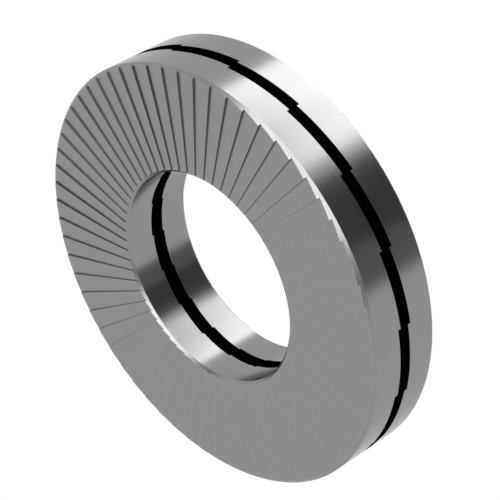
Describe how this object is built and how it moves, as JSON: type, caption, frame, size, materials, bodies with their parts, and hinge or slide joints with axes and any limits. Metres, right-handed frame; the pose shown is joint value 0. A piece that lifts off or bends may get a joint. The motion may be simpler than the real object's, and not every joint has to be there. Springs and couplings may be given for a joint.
{
  "type": "wedge lock washer pair",
  "caption": "Pair of wedge lock washers joined cam side to cam side by a thin layer of adhesive. Saw teeth grip outwards and the cams keep a bolt from working loose.",
  "frame": {"origin": "on the bore's axis, at the tooth crests that the lower washer stands on", "axes": "+Z along the bore, from the lower washer to the upper one; X and Y lie across the pair"},
  "size_m": [0.0108, 0.0108, 0.002],
  "materials": {
    "steel": "smooth satin, machined and hardened steel",
    "adhesive": "matt black, set adhesive"
  },
  "bodies": {
    "root": {"upper_washer": "steel", "lower_washer": "steel", "adhesive_layer": "adhesive"}
  },
  "joints": []
}
